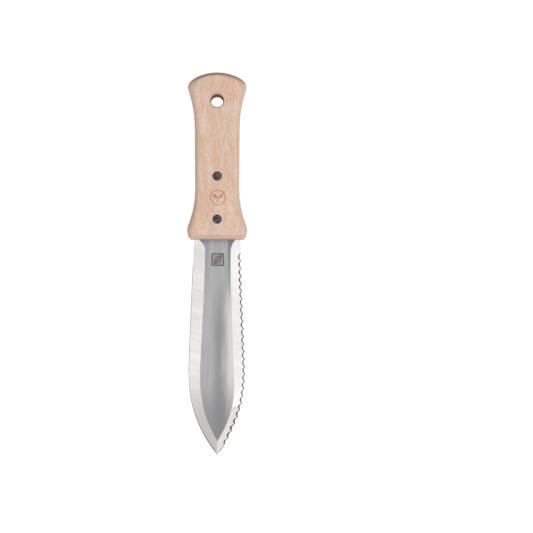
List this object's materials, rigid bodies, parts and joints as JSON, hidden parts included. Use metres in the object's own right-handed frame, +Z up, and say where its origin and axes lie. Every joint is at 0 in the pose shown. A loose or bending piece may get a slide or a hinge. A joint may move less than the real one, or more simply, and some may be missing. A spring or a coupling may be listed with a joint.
{
  "type": "hori hori knife",
  "caption": "Digging and weeding knife: dished steel blade with one plain and one scalloped edge, in a flared one-piece wooden handle with a hanging hole.",
  "frame": {"origin": "centre of the hanging hole through the handle, half-way through its thickness", "axes": "+Z up along the knife from its tip to the handle's crown, as it hangs; +Y out of the back (convex) face, so the dished front faces -Y; +X across, towards the scalloped edge"},
  "size_m": [0.0486, 0.024, 0.3095],
  "materials": {
    "blade_steel": "lengthwise brushed dish, brighter cross-ground bevels",
    "handle_wood": "pale beech with short rays, sanded and lightly oiled",
    "rivet_metal": "dull, darkened steel"
  },
  "bodies": {
    "root": {"blade": "blade_steel", "handle": "handle_wood", "upper_rivet_pin": "rivet_metal", "upper_rivet_socket": "rivet_metal", "lower_rivet_pin": "rivet_metal", "lower_rivet_socket": "rivet_metal"}
  },
  "joints": []
}
